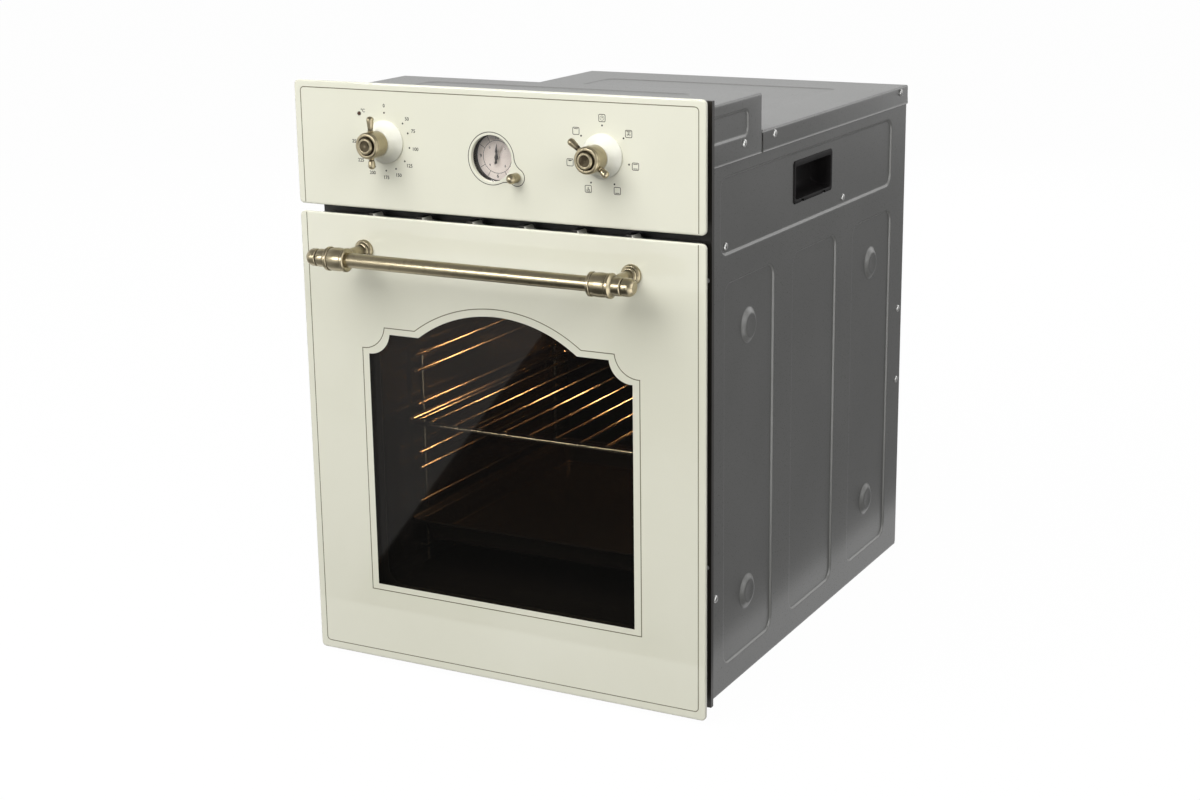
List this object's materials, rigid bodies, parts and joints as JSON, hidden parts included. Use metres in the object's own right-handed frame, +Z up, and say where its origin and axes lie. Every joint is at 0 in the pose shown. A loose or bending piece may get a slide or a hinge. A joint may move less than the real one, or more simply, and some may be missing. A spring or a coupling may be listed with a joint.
{
  "type": "built-in oven",
  "caption": "Narrow built-in electric oven in a retro style: cream glass drop-down door with an arched window, brass bar handle, lever knobs and a dial clock in a grey steel casing.",
  "frame": {"origin": "centre of the underside of the base panel, midway between the sides and midway in the depth of the casing", "axes": "+X to the right seen from the front, +Y to the rear, so that the door faces -Y, +Z up"},
  "size_m": [0.446, 0.6518, 0.6],
  "materials": {
    "grey_sheet": "satin grey-coated sheet steel",
    "black_sheet": "satin black enamelled sheet steel",
    "cavity_enamel": "glossy dark enamel",
    "cream_glass": "glass printed cream on its back",
    "clear_glass": "clear float glass",
    "antique_brass": "brushed antique brass",
    "cream_plastic": "gloss cream",
    "dial_white": "warm white print",
    "black_plastic": "moulded black",
    "steel": "bare steel",
    "chrome_wire": "chromed wire",
    "heater_sheath": "heat-darkened steel sheath",
    "aluminium_sheet": "bare aluminium",
    "wool": "mineral wool",
    "seal_rubber": "matt",
    "pilot_amber": "clear amber",
    "hand_black": "matt black",
    "hand_light": "satin gilt",
    "lamp_white": "ceramic and glass"
  },
  "bodies": {
    "casing": {"base_panel": "grey_sheet", "side_panel_right": "grey_sheet", "side_panel_left": "grey_sheet", "carry_grips": "black_plastic", "rear_panel": "grey_sheet", "top_panel": "grey_sheet", "control_cover": "grey_sheet", "casing_screws": "steel", "front_frame": "black_sheet", "cavity_liner": "cavity_enamel", "cavity_back": "cavity_enamel", "insulation": "wool", "door_seal": "seal_rubber", "upper_heaters": "heater_sheath", "bottom_heater": "heater_sheath", "rack_ladders": "chrome_wire", "fan_cover": "cavity_enamel", "convection_motor": "steel", "oven_lamp": "lamp_white", "lamp_glass": "clear_glass", "thermostat": "steel", "selector_switch": "black_plastic", "knob_rosettes": "cream_plastic", "control_panel": "cream_glass", "panel_carrier": "black_plastic", "pilot_lamp": "pilot_amber", "clock_case": "black_plastic", "clock_dial": "dial_white", "clock_lens": "clear_glass", "hinge_arms": "steel", "hinge_receivers": "steel", "air_guide": "aluminium_sheet", "blower_housing": "aluminium_sheet", "blower_motor": "steel", "terminal_block": "black_plastic", "cable_gland": "black_plastic"},
    "door": {"door_outer_glass": "clear_glass", "door_enamel": "cream_glass", "door_frame": "black_sheet", "door_inner_glass": "clear_glass", "glass_clips": "steel", "door_top_rail": "black_sheet", "hinge_channels": "steel", "hinge_springs": "steel", "handle_bar": "antique_brass", "handle_caps": "antique_brass", "handle_posts": "antique_brass", "handle_screws": "steel"},
    "thermostat_control": {"thermostat_knob": "antique_brass", "thermostat_shaft": "steel"},
    "selector_control": {"selector_knob": "antique_brass", "selector_shaft": "steel"},
    "clock_setter": {"clock_knob": "antique_brass"},
    "minute_hand": {"minute_hand": "hand_black"},
    "hour_hand": {"hour_hand": "hand_black"},
    "alarm_hand": {"alarm_hand": "hand_light"},
    "shelf": {"wire_shelf": "chrome_wire"},
    "tray": {"baking_tray": "cavity_enamel"},
    "convection_fan": {"convection_fan": "steel"},
    "cooling_fan": {"cooling_fan": "aluminium_sheet"}
  },
  "joints": [
    {"name": "door_hinge", "type": "hinge", "parent": "casing", "child": "door", "pos_m": [0, -0.3, 0.017], "axis": [1, 0, 0], "range_deg": [0, 90], "stiffness_Nm_per_rad": 4, "springref_deg": -22.92, "deforming": ["hinge_springs"]},
    {"name": "thermostat_turn", "type": "hinge", "parent": "casing", "child": "thermostat_control", "pos_m": [-0.1185, -0.31, 0.544], "axis": [0, 1, 0], "range_deg": [0, 270]},
    {"name": "selector_turn", "type": "hinge", "parent": "casing", "child": "selector_control", "pos_m": [0.1185, -0.31, 0.544], "axis": [0, 1, 0], "continuous": true},
    {"name": "clock_knob_turn", "type": "hinge", "parent": "casing", "child": "clock_setter", "pos_m": [0.0275, -0.31, 0.5185], "axis": [0, 1, 0], "continuous": true},
    {"name": "alarm_hand_turn", "type": "hinge", "parent": "casing", "child": "alarm_hand", "pos_m": [0, -0.31, 0.5347], "axis": [0, 1, 0], "continuous": true},
    {"name": "minute_hand_turn", "type": "hinge", "parent": "casing", "child": "minute_hand", "pos_m": [0, -0.31, 0.5347], "axis": [0, 1, 0], "continuous": true},
    {"name": "hour_hand_turn", "type": "hinge", "parent": "casing", "child": "hour_hand", "pos_m": [0, -0.31, 0.5347], "axis": [0, 1, 0], "continuous": true},
    {"name": "convection_fan_spin", "type": "hinge", "parent": "casing", "child": "convection_fan", "pos_m": [0, 0.125, 0.242], "axis": [0, 1, 0], "continuous": true},
    {"name": "cooling_fan_spin", "type": "hinge", "parent": "casing", "child": "cooling_fan", "pos_m": [0, 0.025, 0.4943], "axis": [1, 0, 0], "continuous": true},
    {"name": "wire_shelf_slide", "type": "slide", "parent": "casing", "child": "shelf", "axis": [0, -1, 0], "range_m": [0, 0.03]},
    {"name": "baking_tray_slide", "type": "slide", "parent": "casing", "child": "tray", "axis": [0, -1, 0], "range_m": [0, 0.03]}
  ],
  "couplings": [
    {"joint": "hour_hand_turn", "follows": "minute_hand_turn", "ratio": 0.083333},
    {"joint": "alarm_hand_turn", "follows": "clock_knob_turn", "ratio": 0.25}
  ]
}
